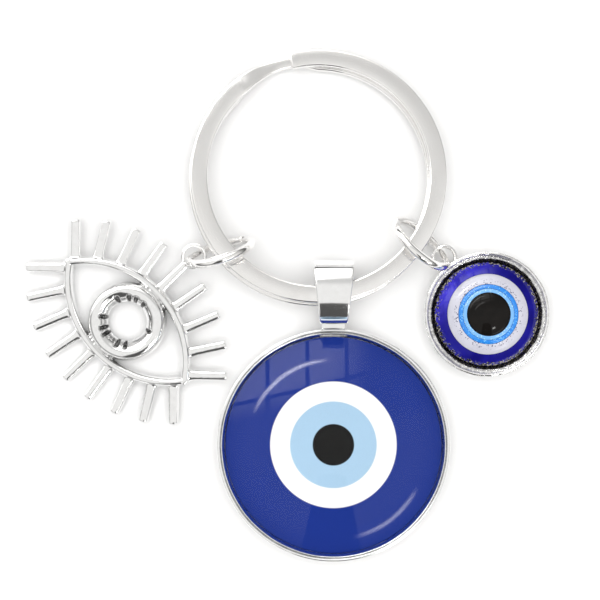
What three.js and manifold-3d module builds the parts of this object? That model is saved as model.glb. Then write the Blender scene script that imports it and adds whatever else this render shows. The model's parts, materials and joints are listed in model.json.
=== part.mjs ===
// Evil eye keychain, lying face up on a flat surface. A split ring carries a glass pendant on the
// pendant's own bail, and an open-work eye charm and a small resin eye charm on a jump ring each.
// Millimetres, +Z up. The surface is z = 0, and the origin is on it, below the middle of the object.
import * as THREE from "three";
import { mergeVertices } from "three/addons/utils/BufferGeometryUtils.js";
import Module from "manifold-3d";

const wasm = await Module();
wasm.setup();

const radians = THREE.MathUtils.degToRad;

// ---------------------------------------------------------------- driving dimensions

// Split ring: one flat strip coiled nearly twice, with a ramp where it steps from coil to coil.
const ring = {
  outerDiameter: 29.6,
  stripWidth: 2,
  stripThickness: 1.05,
  coilGap: 0.2,
  chamfer: 0.14,
  frontEnd: 103.5, // where the front coil is cut, degrees round the ring
  rampStart: 332, // degrees of sweep after the front end
  rampEnd: 355,
  wideAgain: [362, 376], // degrees of sweep over which the strip comes back to its full width
  sweep: 690,
  rampWidth: 1.35, // the strip is pressed narrower on the ramp
  backShift: [-0.24, -0.26], // the back coil lies a little off the front coil's centre
  tilt: -5.5, // its far side rests on the surface, its near side on the jump rings
  centre: [2.13, 14.3, 2.54],
};
ring.middleRadius = (ring.outerDiameter - ring.stripWidth) / 2;
ring.coilLevel = (ring.stripThickness + ring.coilGap) / 2;

// Jump rings: 8.4 mm over round wire, each with a narrow gap between its cut ends. Headings and leans are
// in degrees. Angles round the wire count from the heading, and minus is towards the surface.
const jump = { outerDiameter: 8.4, wire: 1, gap: 6 };
jump.radius = (jump.outerDiameter - jump.wire) / 2;
const leftJump = { centre: [-9.15, 5.5, 4.08], heading: 17, lean: 15, gapAt: -36, charmAt: 213 };
const rightJump = { centre: [13.88, 6.5, 3.94], heading: -42, lean: 21.5, gapAt: 174, charmAt: -32 };

// Small cast loops that the jump rings pass through.
const loop = { outerDiameter: 3.15, hole: 2.15, thickness: 0.8 };

// Open-work eye charm: one casting with a flat back.
const eye = {
  halfLength: 9.6,
  halfWidth: 5,
  outlineWidth: 1,
  outlineHeight: 1.5,
  pastCorner: 1.035, // the two arcs of the outline cross and end just past each corner
  irisDiameter: 9.3,
  irisHeight: 2,
  irisCrown: 7.4, // diameter along the top of the iris ring
  ledgeDiameter: 5.5,
  ledgeHeight: 1.15,
  irisHole: 4.6,
  upperLashLength: 4.85,
  lowerLashLength: 4.95,
  lowerLashShift: -0.38, // the lower row leans towards the outer corner, most at its inner end
  lashRoot: 1.15,
  lashTip: 1.05,
  lashHeight: 1.2,
  loopDistance: 10.9,
  heading: -46,
};

// Large pendant: a cast tray with its bail, and a printed paper behind a domed glass.
const tray = {
  diameter: 27.1,
  height: 2.95,
  floor: 0.8,
  wallGap: 0.12, // between the glass and the tray's wall
  centre: [3.87, -16.78],
};
const lug = { width: 2.9, length: 2, height: 2.2, centreY: -3.2, middle: 1.5 }; // joins the tray and its bail
const bail = {
  centreY: 0.9,
  halfHeight: 3.7,
  depth: 6.7,
  wall: 0.75,
  topWidth: 4.85,
  bottomWidth: 3.2,
  roundness: 2.6,
};
const glass = { diameter: 25, edgeHeight: 1.75, dome: 3.85 };
const paper = { diameter: 24.6, thickness: 0.15 };

// Small pendant: a cast cup with a layered resin eye.
const cup = { diameter: 14.6, height: 2.7, floor: 0.7, wallGap: 0.12, centre: [21.63, -1.63] };
const resin = { diameter: 12, edgeHeight: 1.4, dome: 2.6, recess: 0.4, fit: 0.03, whiteDiameter: 9.28 };
resin.azureDiameter = 6.86;
resin.lightDiameter = 5.88;
resin.pupilDiameter = 4.96;
resin.reach = resin.recess - 0.06; // how far the painted rings and the pupil go down into the recess
const proud = { white: 0.05, azure: 0.08, light: 0.08, pupilEdge: 0.05, pupil: 0.3, rounding: 0.04 };

const glue = { thickness: 0.12, gap: 0.03 };
resin.low = cup.floor + glue.thickness + 2 * glue.gap;

// ---------------------------------------------------------------- materials

function finish(color, roughness, metalness) {
  return new THREE.MeshStandardMaterial({ color, roughness, metalness });
}

const nickel = finish(0xd2d1cd, 0.22, 1);
const silver = finish(0xc4c4c6, 0.28, 1);
const clearGlue = finish(0xe8e6dc, 0.5, 0);

// ---------------------------------------------------------------- shape helpers

// A closed skin over a row of rings with equal point counts. A ring runs anticlockwise seen from the end
// of the row, so that faces point out. An open row is closed by a flat face at each end.
function loft(rings, joined = false) {
  const count = rings[0].length;
  const index = [];
  const steps = joined ? rings.length : rings.length - 1;
  for (let i = 0; i < steps; i += 1) {
    const near = i * count;
    const far = ((i + 1) % rings.length) * count;
    for (let j = 0; j < count; j += 1) {
      const k = (j + 1) % count;
      index.push(near + j, near + k, far + k, near + j, far + k, far + j);
    }
  }
  if (!joined) {
    const end = (rings.length - 1) * count;
    for (let j = 1; j < count - 1; j += 1) {
      index.push(0, j + 1, j, end, end + j, end + j + 1);
    }
  }
  const geometry = new THREE.BufferGeometry().setFromPoints(rings.flat());
  geometry.setIndex(index);
  geometry.computeVertexNormals();
  return geometry;
}

// A lathe turned about Z from a closed outline of [radius, height] points, anticlockwise.
function turned(outline, segments) {
  const points = outline.map(([radius, height]) => new THREE.Vector2(radius, height));
  return new THREE.LatheGeometry(points, segments).rotateX(Math.PI / 2);
}

function solidOf(geometry) {
  const bare = geometry.clone();
  bare.deleteAttribute("normal");
  bare.deleteAttribute("uv");
  const merged = mergeVertices(bare, 1e-5);
  const vertProperties = new Float32Array(merged.attributes.position.array);
  const triVerts = new Uint32Array(merged.index.array);
  return new wasm.Manifold(new wasm.Mesh({ numProp: 3, vertProperties, triVerts }));
}

function geometryOf(solid) {
  const mesh = solid.getMesh();
  const geometry = new THREE.BufferGeometry();
  geometry.setAttribute("position", new THREE.BufferAttribute(mesh.vertProperties, 3));
  geometry.setIndex(new THREE.BufferAttribute(mesh.triVerts, 1));
  geometry.computeVertexNormals();
  return geometry;
}

const joinAll = (geometries) => geometryOf(geometries.map(solidOf).reduce((whole, next) => whole.add(next)));

// Points of a bar's section with a flat back and a rounded front: [across, up] from the middle of its back.
function domedSection(width, height) {
  const side = width / 2;
  return [
    [side, 0],
    [side, 0.5 * height],
    [0.72 * side, 0.84 * height],
    [0, height],
    [-0.72 * side, 0.84 * height],
    [-side, 0.5 * height],
    [-side, 0],
  ];
}

function ellipseSection(width, height, count) {
  return Array.from({ length: count }, (_, i) => {
    const turn = (2 * Math.PI * i) / count;
    return [(width / 2) * Math.cos(turn), (height / 2) * Math.sin(turn)];
  });
}

// A section set on a flat path: at a point, across the direction of travel and upwards.
function sectionAt(section, x, y, travel, lift = 0) {
  const left = new THREE.Vector2(-Math.sin(travel), Math.cos(travel));
  const spot = ([across, up]) => new THREE.Vector3(x + left.x * across, y + left.y * across, up + lift);
  return section.map(spot);
}

// A cast loop lying flat, centred on the origin.
function castLoop() {
  const section = ellipseSection((loop.outerDiameter - loop.hole) / 2, loop.thickness, 8);
  const radius = (loop.outerDiameter + loop.hole) / 4;
  const steps = 24;
  const rings = Array.from({ length: steps }, (_, i) => {
    const turn = (2 * Math.PI * i) / steps;
    return sectionAt(section, radius * Math.cos(turn), radius * Math.sin(turn), turn + Math.PI / 2);
  });
  return loft(rings, true);
}

// Points of a dome's arc from its rim to its top: a cap of a sphere on a rim of the given radius.
function domeHeight(rimRadius, rise, radius) {
  const sphere = (rimRadius ** 2 + rise ** 2) / (2 * rise);
  return Math.sqrt(sphere ** 2 - radius ** 2) - (sphere - rise);
}

function named(name, geometry, material) {
  const mesh = new THREE.Mesh(geometry, material);
  mesh.name = name;
  return mesh;
}

// ---------------------------------------------------------------- split ring

const smooth = (from, to, value) => THREE.MathUtils.smoothstep(value, from, to);

function splitRing() {
  const steps = 138;
  const rings = [];
  for (let i = 0; i <= steps; i += 1) {
    const sweep = (ring.sweep * i) / steps;
    const turn = radians(ring.frontEnd - sweep);
    const down = smooth(ring.rampStart, ring.rampEnd, sweep);
    const narrow = down - smooth(...ring.wideAgain, sweep);
    const width = ring.stripWidth - (ring.stripWidth - ring.rampWidth) * narrow;
    const radius = ring.middleRadius + (ring.stripWidth - width) / 2;
    const level = ring.coilLevel * (1 - 2 * down);
    const x = ring.backShift[0] * down;
    const y = ring.backShift[1] * down;
    const side = width / 2;
    const top = ring.stripThickness / 2;
    const cut = ring.chamfer;
    const section = [
      [side - cut, -top],
      [side, cut - top],
      [side, top - cut],
      [side - cut, top],
      [cut - side, top],
      [-side, top - cut],
      [-side, cut - top],
      [cut - side, -top],
    ];
    rings.push(
      section.map(([out, up]) => {
        const reach = radius + out;
        return new THREE.Vector3(x + reach * Math.cos(turn), y + reach * Math.sin(turn), level + up);
      }),
    );
  }
  const mesh = named("split_ring", loft(rings), nickel);
  mesh.position.set(...ring.centre);
  mesh.rotation.x = radians(ring.tilt);
  return mesh;
}

// ---------------------------------------------------------------- jump rings

// The ring stands in its own XZ plane, then leans about X and turns to its heading.
function jumpRing(name, place) {
  const section = ellipseSection(jump.wire, jump.wire, 10);
  const steps = 40;
  const rings = Array.from({ length: steps + 1 }, (_, i) => {
    const turn = radians(place.gapAt + jump.gap / 2 + ((360 - jump.gap) * i) / steps);
    return section.map(([out, side]) => {
      const reach = jump.radius + out;
      return new THREE.Vector3(reach * Math.cos(turn), side, reach * Math.sin(turn));
    });
  });
  const mesh = named(name, loft(rings), nickel);
  mesh.position.set(...place.centre);
  mesh.rotation.set(radians(place.lean), 0, radians(place.heading), "ZYX");
  return mesh;
}

// The middle of the wire where a charm's loop hangs on it.
function wirePoint(place) {
  const turn = radians(place.charmAt);
  const lean = new THREE.Euler(radians(place.lean), 0, radians(place.heading), "ZYX");
  return new THREE.Vector3(jump.radius * Math.cos(turn), 0, jump.radius * Math.sin(turn))
    .applyEuler(lean)
    .add(new THREE.Vector3(...place.centre));
}

// ---------------------------------------------------------------- eye charm

// The outline's two arcs share one radius and meet at the corners. X runs along the eye, Y up it.
const eyeArcRadius = (eye.halfLength ** 2 + eye.halfWidth ** 2) / (2 * eye.halfWidth);
const eyeArcHalf = Math.asin(eye.halfLength / eyeArcRadius);

function eyeArc(side) {
  const steps = 20;
  const section = domedSection(eye.outlineWidth, eye.outlineHeight);
  const rings = Array.from({ length: steps + 1 }, (_, i) => {
    const turn = eye.pastCorner * eyeArcHalf * (1 - (2 * i) / steps);
    const x = eyeArcRadius * Math.sin(turn);
    const y = eyeArcRadius * Math.cos(turn) - (eyeArcRadius - eye.halfWidth);
    return sectionAt(section, x, y, Math.PI - turn);
  });
  const geometry = loft(rings);
  return side > 0 ? geometry : geometry.rotateZ(Math.PI);
}

// A lash from its root on the outline, with a rounded tip.
function lash(rootX, rootY, direction, length) {
  const stations = [
    [-0.3, eye.lashRoot],
    [length - 0.2, eye.lashTip],
    [length, 0.75 * eye.lashTip],
  ];
  const rings = stations.map(([along, width]) => {
    const height = eye.lashHeight * (0.45 + (0.55 * width) / eye.lashRoot);
    const x = rootX + along * Math.cos(direction);
    const y = rootY + along * Math.sin(direction);
    return sectionAt(domedSection(width, height), x, y, direction);
  });
  return loft(rings);
}

// Nine places on each arc: how far along the eye the root is, and how far the lash leans from upright.
const lashRoots = [
  [0, 0],
  [2.6, 10],
  [5.15, 21],
  [7.4, 32],
  [9.2, 45],
];

function lashesOf(side) {
  const found = [];
  const fullLength = side > 0 ? eye.upperLashLength : eye.lowerLashLength;
  const stemLength = eye.loopDistance - eye.halfWidth - loop.outerDiameter / 2 + 0.3;
  lashRoots.forEach(([offset, lean], place) => {
    for (const hand of place === 0 ? [1] : [1, -1]) {
      const along = 0.5 + (offset * hand) / (2 * lashRoots.at(-1)[0]);
      const shift = side > 0 ? 0 : eye.lowerLashShift * (1 - (1 - along) ** 2);
      const rootX = offset * hand + shift;
      const turn = Math.asin(rootX / eyeArcRadius);
      const rootY = side * (eyeArcRadius * Math.cos(turn) - (eyeArcRadius - eye.halfWidth));
      const direction = side * (Math.PI / 2 - radians(lean) * hand);
      const isStem = side > 0 && place === 0;
      found.push(lash(rootX, rootY, direction, isStem ? stemLength : fullLength));
    }
  });
  return found;
}

function irisRing() {
  const outer = eye.irisDiameter / 2;
  const ledge = eye.ledgeDiameter / 2;
  const hole = eye.irisHole / 2;
  return turned(
    [
      [hole, 0],
      [outer - 0.15, 0],
      [outer, 0.25 * eye.irisHeight],
      [outer - 0.12, 0.62 * eye.irisHeight],
      [outer - 0.45, 0.9 * eye.irisHeight],
      [eye.irisCrown / 2, eye.irisHeight],
      [ledge + 0.4, 0.85 * eye.irisHeight],
      [ledge, eye.ledgeHeight],
      [hole, eye.ledgeHeight - 0.3],
      [hole, 0],
    ],
    48,
  );
}

// Modelled about the middle of its loop, then tilted so that its far lashes rest on the surface.
function eyeCharm() {
  const parts = [eyeArc(1), eyeArc(-1), irisRing(), ...lashesOf(1), ...lashesOf(-1)];
  const hanger = castLoop().translate(0, eye.loopDistance, loop.thickness / 2);
  const geometry = joinAll([...parts, hanger]).translate(0, -eye.loopDistance, -loop.thickness / 2);
  const mesh = named("eye_charm", geometry, silver);
  const hang = wirePoint(leftJump);
  const farEnd = eye.loopDistance + eye.halfWidth + eye.lowerLashLength;
  mesh.position.copy(hang);
  mesh.rotation.set(Math.asin((hang.z - loop.thickness / 2) / farEnd), 0, radians(eye.heading), "ZYX");
  return mesh;
}

// ---------------------------------------------------------------- large pendant

function trayBody() {
  const outer = tray.diameter / 2;
  const inner = glass.diameter / 2 + tray.wallGap;
  const top = tray.height;
  return turned(
    [
      [0, 0],
      [outer - 0.6, 0],
      [outer - 0.2, 0.35],
      [outer, 1],
      [outer, top - 0.25],
      [outer - 0.15, top],
      [outer - 0.38, top],
      [outer - 0.48, top - 0.15],
      [outer - 0.6, top - 0.05],
      [inner + 0.1, top - 0.05],
      [inner, top - 0.2],
      [inner, tray.floor],
      [0, tray.floor],
    ],
    64,
  );
}

// The bail's side view is a rounded loop. It is cut to a width that tapers from top to bottom.
function bailBody() {
  const steps = 36;
  const oval = (halfHeight, halfDepth) =>
    Array.from({ length: steps }, (_, i) => {
      const turn = (2 * Math.PI * i) / steps;
      const power = 2 / bail.roundness;
      const y = halfHeight * Math.sign(Math.cos(turn)) * Math.abs(Math.cos(turn)) ** power;
      const z = halfDepth * Math.sign(Math.sin(turn)) * Math.abs(Math.sin(turn)) ** power;
      return new THREE.Vector2(y, z);
    });
  const halfDepth = bail.depth / 2;
  const side = new THREE.Shape(oval(bail.halfHeight, halfDepth));
  side.holes.push(new THREE.Path(oval(bail.halfHeight - bail.wall, halfDepth - bail.wall)));
  const strap = new THREE.ExtrudeGeometry(side, { depth: bail.topWidth, bevelEnabled: false });
  strap.translate(0, 0, -bail.topWidth / 2);
  strap.rotateX(Math.PI / 2).rotateZ(Math.PI / 2);
  strap.translate(0, bail.centreY, halfDepth);
  const low = bail.centreY - bail.halfHeight;
  const high = bail.centreY + bail.halfHeight;
  const front = new THREE.Shape([
    new THREE.Vector2(-bail.bottomWidth / 2, low),
    new THREE.Vector2(bail.bottomWidth / 2, low),
    new THREE.Vector2(bail.topWidth / 2, high),
    new THREE.Vector2(-bail.topWidth / 2, high),
  ]);
  const taper = new THREE.ExtrudeGeometry(front, { depth: bail.depth + 2, bevelEnabled: false });
  taper.translate(0, 0, -1);
  return solidOf(strap).intersect(solidOf(taper));
}

function largeTray() {
  const block = new THREE.BoxGeometry(lug.width, lug.length, lug.height);
  block.translate(0, lug.centreY, lug.middle);
  const body = solidOf(trayBody().translate(0, tray.centre[1], 0));
  const geometry = geometryOf(body.add(bailBody()).add(solidOf(block)));
  const mesh = named("large_tray", geometry, silver);
  mesh.position.x = tray.centre[0];
  return mesh;
}

function disc(name, diameter, low, thickness, segments, material) {
  const high = low + thickness;
  const outline = [
    [0, low],
    [diameter / 2, low],
    [diameter / 2, high],
    [0, high],
  ];
  return named(name, turned(outline, segments), material);
}

function dome(diameter, low, edgeHeight, rise, steps, segments) {
  const radius = diameter / 2;
  const outline = [
    [0, low],
    [radius - 0.2, low],
    [radius, low + 0.2],
    [radius, low + edgeHeight],
  ];
  for (let i = 1; i <= steps; i += 1) {
    const r = radius * Math.cos((Math.PI / 2) * (i / steps));
    outline.push([i === steps ? 0 : r, low + edgeHeight + domeHeight(radius, rise, r)]);
  }
  return turned(outline, segments);
}

function largePendant() {
  const group = new THREE.Group();
  const glueLow = tray.floor + glue.gap;
  const paperLow = glueLow + glue.thickness + glue.gap;
  const glassLow = paperLow + paper.thickness + glue.gap;
  const inside = new THREE.Group();
  inside.position.set(...tray.centre, 0);
  inside.add(
    disc("large_glue", paper.diameter - 1, glueLow, glue.thickness, 32, clearGlue),
    disc("large_print", paper.diameter, paperLow, paper.thickness, 48, finish(0x23399a, 0.6, 0)),
    named(
      "large_glass",
      dome(glass.diameter, glassLow, glass.edgeHeight, glass.dome, 7, 56),
      finish(0xbfd3ea, 0.05, 0),
    ),
  );
  group.add(largeTray(), inside);
  return group;
}

// ---------------------------------------------------------------- small pendant

function smallCup() {
  const outer = cup.diameter / 2;
  const inner = resin.diameter / 2 + cup.wallGap;
  const top = cup.height;
  const body = turned(
    [
      [0, 0],
      [outer - 0.6, 0],
      [outer - 0.2, 0.3],
      [outer, 0.9],
      [outer, top - 0.2],
      [outer - 0.15, top],
      [outer - 0.4, top],
      [outer - 0.52, top - 0.35],
      [outer - 0.78, top - 0.4],
      [outer - 0.9, top - 0.2],
      [inner, top - 0.3],
      [inner, cup.floor],
      [0, cup.floor],
    ],
    48,
  );
  const hang = wirePoint(rightJump);
  const toLoop = new THREE.Vector2(hang.x - cup.centre[0], hang.y - cup.centre[1]);
  const hanger = castLoop().translate(toLoop.x, toLoop.y, hang.z);
  return named("small_cup", joinAll([body, hanger]), silver);
}

// The resin body has a shallow round recess in its dome, which the painted rings and the pupil fill.
function resinSurface(radius) {
  return resin.low + resin.edgeHeight + domeHeight(resin.diameter / 2, resin.dome, radius);
}

function resinBody() {
  const radius = resin.diameter / 2;
  const recessRadius = resin.whiteDiameter / 2 + resin.fit;
  const outline = [
    [0, resin.low],
    [radius - 0.2, resin.low],
    [radius, resin.low + 0.2],
    [radius, resin.low + resin.edgeHeight],
  ];
  for (const share of [0.66, 0.33, 0]) {
    const r = recessRadius + (radius - recessRadius) * share;
    outline.push([r, resinSurface(r)]);
  }
  for (const share of [1, 0.75, 0.5, 0.25]) {
    const r = recessRadius * share;
    outline.push([r, resinSurface(r) - resin.recess]);
  }
  outline.push([0, resinSurface(0) - resin.recess]);
  return named("small_resin_body", turned(outline, 40), finish(0x0b1f7c, 0.12, 0));
}

// A ring set in the recess, from its inner to its outer radius, standing proud of the dome by rise.
function setRing(name, innerDiameter, outerDiameter, rise, color) {
  const inner = innerDiameter / 2 + resin.fit;
  const outer = outerDiameter / 2;
  const middle = (inner + outer) / 2;
  const outline = [
    [inner, resinSurface(inner) - resin.reach],
    [outer, resinSurface(outer) - resin.reach],
    [outer, resinSurface(outer) + rise - proud.rounding],
    [middle, resinSurface(middle) + rise],
    [inner, resinSurface(inner) + rise - proud.rounding],
    [inner, resinSurface(inner) - resin.reach],
  ];
  return named(name, turned(outline, 40), finish(color, 0.15, 0));
}

function pupil() {
  const radius = resin.pupilDiameter / 2;
  const outline = [];
  for (const share of [0, 0.33, 0.66, 1]) {
    outline.push([radius * share, resinSurface(radius * share) - resin.reach]);
  }
  for (const share of [1, 0.86, 0.6, 0.3, 0]) {
    const r = radius * share;
    outline.push([r, resinSurface(r) + proud.pupilEdge + proud.pupil * Math.sqrt(1 - share ** 2)]);
  }
  return named("small_pupil", turned(outline, 32), finish(0x08080a, 0.05, 0));
}

function smallPendant() {
  const group = new THREE.Group();
  group.position.set(...cup.centre, 0);
  group.add(
    smallCup(),
    disc("small_glue", resin.diameter - 0.8, cup.floor + glue.gap, glue.thickness, 24, clearGlue),
    resinBody(),
    setRing("small_white_ring", resin.azureDiameter, resin.whiteDiameter, proud.white, 0xeceef2),
    setRing("small_azure_ring", resin.lightDiameter, resin.azureDiameter, proud.azure, 0x2e6fd8),
    setRing("small_light_ring", resin.pupilDiameter, resin.lightDiameter, proud.light, 0x9cc9ee),
    pupil(),
  );
  return group;
}

// ---------------------------------------------------------------- assembly

const keychain = new THREE.Group();
keychain.add(
  splitRing(),
  jumpRing("left_jump_ring", leftJump),
  jumpRing("right_jump_ring", rightJump),
  eyeCharm(),
  largePendant(),
  smallPendant(),
);
const box = new THREE.Box3().setFromObject(keychain, true);
keychain.position.set(-(box.min.x + box.max.x) / 2, -(box.min.y + box.max.y) / 2, -box.min.z);

export default keychain;
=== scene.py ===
"""Evil eye keychain, lying face up on a pale floor.

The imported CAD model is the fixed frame. Every CAD node is replaced by a finer mesh of the same size and
place, in the shapes that the real making leaves: coiled strip, cut wire, soft-edged castings, a ground
glass dome over a printed card, and layered resin. Shapes are written in millimetres.
"""

import functools
import json
import math

import bmesh
import bpy
from mathutils import Euler, Matrix, Vector, noise


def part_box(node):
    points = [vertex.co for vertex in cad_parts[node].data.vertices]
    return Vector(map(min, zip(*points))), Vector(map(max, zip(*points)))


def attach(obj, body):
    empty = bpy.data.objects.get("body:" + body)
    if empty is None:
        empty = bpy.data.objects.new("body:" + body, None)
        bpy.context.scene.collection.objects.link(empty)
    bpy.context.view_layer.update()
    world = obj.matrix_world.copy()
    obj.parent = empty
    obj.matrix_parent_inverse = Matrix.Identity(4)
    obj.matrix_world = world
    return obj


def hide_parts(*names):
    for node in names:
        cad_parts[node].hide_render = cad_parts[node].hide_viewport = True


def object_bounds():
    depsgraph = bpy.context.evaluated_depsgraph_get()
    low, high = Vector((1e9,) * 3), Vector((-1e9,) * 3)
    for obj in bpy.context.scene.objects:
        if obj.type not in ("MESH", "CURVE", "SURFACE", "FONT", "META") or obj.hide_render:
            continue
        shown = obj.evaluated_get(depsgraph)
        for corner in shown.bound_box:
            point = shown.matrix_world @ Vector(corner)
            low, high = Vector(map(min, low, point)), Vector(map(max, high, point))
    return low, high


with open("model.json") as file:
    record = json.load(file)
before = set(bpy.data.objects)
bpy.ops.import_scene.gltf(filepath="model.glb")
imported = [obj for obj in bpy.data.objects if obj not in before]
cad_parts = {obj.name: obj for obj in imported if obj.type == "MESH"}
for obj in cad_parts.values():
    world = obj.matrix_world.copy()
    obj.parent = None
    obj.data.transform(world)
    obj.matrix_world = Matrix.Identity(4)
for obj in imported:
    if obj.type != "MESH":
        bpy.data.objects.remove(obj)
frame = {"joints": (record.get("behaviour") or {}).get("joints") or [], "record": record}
cad_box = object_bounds()

MM = 0.001
TURN = 2 * math.pi

# ---------------------------------------------------------------- what the frame says

record = frame["record"]
joints = {joint["name"]: joint for joint in frame["joints"]}
body_of_node = {
    node: body for body, nodes in record["behaviour"]["bodies"].items() for node in nodes
}


@functools.cache
def corners(node):
    """Lowest and highest corner of a CAD node, in millimetres."""
    low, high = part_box(node)
    return low / MM, high / MM


def centre(node):
    """Middle of a CAD node's box in plan, at z = 0, in millimetres."""
    low, high = corners(node)
    return Vector(((low.x + high.x) / 2, (low.y + high.y) / 2, 0))


def radius_of(node):
    low, high = corners(node)
    return (high.x - low.x) / 2


def joint_place(name):
    return Vector(joints[name]["pos_m"]) / MM


def joint_axis(name):
    """The joint's axis as a unit vector that points up."""
    axis = Vector(joints[name]["axis"]).normalized()
    return axis if axis.z >= 0 else -axis


# ---------------------------------------------------------------- shape helpers


def smoothstep(start, end, value):
    share = min(1, max(0, (value - start) / (end - start)))
    return share * share * (3 - 2 * share)


def filleted(outline, steps=4, closed=False):
    """An outline whose corners, given as (x, y, cut), are rounded over that length of each side."""
    points = []
    count = len(outline)
    for i, (x, y, cut) in enumerate(outline):
        here = Vector((x, y))
        at_end = not closed and i in (0, count - 1)
        if at_end or cut == 0:
            points.append(here)
            continue
        before = Vector(outline[i - 1][:2]) - here
        after = Vector(outline[(i + 1) % count][:2]) - here
        start = here + before * min(0.5, cut / before.length)
        end = here + after * min(0.5, cut / after.length)
        for k in range(steps + 1):
            share = k / steps
            points.append(start * (1 - share) ** 2 + here * 2 * share * (1 - share) + end * share**2)
    return points


def rounded_bar(width, height, radius, steps=4):
    """Section of a bar with rounded edges, anticlockwise, centred on its middle."""
    w, h = width / 2, height / 2
    return filleted([(w, -h, radius), (w, h, radius), (-w, h, radius), (-w, -h, radius)], steps, closed=True)


def cast_bar(width, height, shoulder=0.62):
    """Section of a cast bar: flat back at 0, upright sides and a front crowned between its shoulders."""
    side = width / 2
    return filleted(
        [
            (side, 0, 0.06),
            (side, 0.62 * height, 0.2),
            (shoulder * side, 0.94 * height, 0.2),
            (0, height, 0.25),
            (-shoulder * side, 0.94 * height, 0.2),
            (-side, 0.62 * height, 0.2),
            (-side, 0, 0.06),
        ],
        3,
        closed=True,
    )


BACK_RINGS = (0.3, 0.6, 0.85, 0.9)  # where a casting's flat back is divided, so that it shades flat
WALL_GAP = 0.12  # between a casting's wall and what is set in it
FOOT_BEVEL = 0.2  # at the lower edge of a dome


def mesh_of(verts, faces):
    """A closed mesh in millimetres, with its faces turned outwards."""
    mesh = bpy.data.meshes.new("shape")
    mesh.from_pydata([tuple(v) for v in verts], [], faces)
    bm = bmesh.new()
    bm.from_mesh(mesh)
    bmesh.ops.remove_doubles(bm, verts=bm.verts, dist=1e-5)
    bmesh.ops.recalc_face_normals(bm, faces=bm.faces)
    bm.to_mesh(mesh)
    bm.free()
    return mesh


def lofted(rings, joined=False):
    """Skin over a row of point rings, closed by flat ends unless the row joins up."""
    count = len(rings[0])
    steps = len(rings) if joined else len(rings) - 1
    faces = []
    for i in range(steps):
        near, far = i * count, (i + 1) % len(rings) * count
        for j in range(count):
            k = (j + 1) % count
            faces.append((near + j, near + k, far + k, far + j))
    if not joined:
        faces.append(tuple(reversed(range(count))))
        faces.append(tuple(range((len(rings) - 1) * count, len(rings) * count)))
    return mesh_of([point for ring in rings for point in ring], faces)


def turned(outline, segments, warp=None):
    """A closed outline of (radius, height) points turned about Z, each point shifted by warp."""
    rings = []
    for i in range(segments):
        turn = TURN * i / segments
        ring = []
        for radius, height in outline:
            if warp and radius > 0:
                radius, height = warp(radius, height, turn)
            ring.append((radius * math.cos(turn), radius * math.sin(turn), height))
        rings.append(ring)
    return lofted(rings, joined=True)


def evaluated(obj):
    """The object's mesh with its modifiers applied; the object itself is removed."""
    graph = bpy.context.evaluated_depsgraph_get()
    mesh = bpy.data.meshes.new_from_object(obj.evaluated_get(graph))
    bpy.data.objects.remove(obj)
    return mesh


def temporary(mesh):
    obj = bpy.data.objects.new("temporary", mesh)
    bpy.context.scene.collection.objects.link(obj)
    return obj


def united(meshes):
    """Boolean union of closed meshes."""
    whole = temporary(meshes[0])
    others = [temporary(mesh) for mesh in meshes[1:]]
    for other in others:
        join = whole.modifiers.new("join", "BOOLEAN")
        join.operation = "UNION"
        join.solver = "EXACT"
        join.object = other
    mesh = evaluated(whole)
    for other in others:
        bpy.data.objects.remove(other)
    return mesh


def cast(meshes, voxel, smoothing):
    """Meshes melted into one skin, with soft fillets where they meet, as a casting has."""
    bm = bmesh.new()
    for mesh in meshes:
        bm.from_mesh(mesh)
    joined = bpy.data.meshes.new("joined")
    bm.to_mesh(joined)
    bm.free()
    obj = temporary(joined)
    melt = obj.modifiers.new("melt", "REMESH")
    melt.mode = "VOXEL"
    melt.voxel_size = voxel
    melt.use_smooth_shade = True
    soften = obj.modifiers.new("soften", "SMOOTH")
    soften.factor = 0.5
    soften.iterations = smoothing
    return evaluated(obj)


def moved(mesh, matrix):
    mesh.transform(matrix)
    return mesh


def piece(name, node, mesh, material, place, turn=None, crease=35, patina_and_shade=None):
    """The finished object for a CAD node: in metres, smooth but for its creases, riding on its body.

    It is turned about its own origin, then set at place. The last argument says how dark each point is, from
    patina and painted shade together, from where the point lies before the turn, in millimetres.
    """
    if patina_and_shade:
        dark = mesh.attributes.new("patina_and_shade", "FLOAT", "POINT")
        dark.data.foreach_set("value", [patina_and_shade(v.co) for v in mesh.vertices])
    mesh.transform((turn.to_matrix().to_4x4() if turn else Matrix.Identity(4)) @ Matrix.Scale(MM, 4))
    mesh.name = name
    mesh.polygons.foreach_set("use_smooth", [True] * len(mesh.polygons))
    mesh.set_sharp_from_angle(angle=math.radians(crease))
    mesh.materials.clear()
    mesh.materials.append(material)
    obj = bpy.data.objects.new(name, mesh)
    bpy.context.scene.collection.objects.link(obj)
    obj.location = Vector(place) * MM
    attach(obj, body_of_node[node])
    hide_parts(node)
    return obj


def grain(point, size, seed):
    """Smooth noise from -1 to 1 whose lumps are about size millimetres across."""
    return noise.noise(Vector(point) / size + Vector((seed, 0.7 * seed, 1.3 * seed)))


# ---------------------------------------------------------------- material helpers


def add_node(tree, kind, inputs=None, **settings):
    """A new node with its settings, each input fed by a socket or set to a value."""
    made = tree.nodes.new(kind)
    for key, value in settings.items():
        setattr(made, key, value)
    for key, value in (inputs or {}).items():
        if isinstance(value, bpy.types.NodeSocket):
            tree.links.new(value, made.inputs[key])
        else:
            made.inputs[key].default_value = value
    return made


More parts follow.
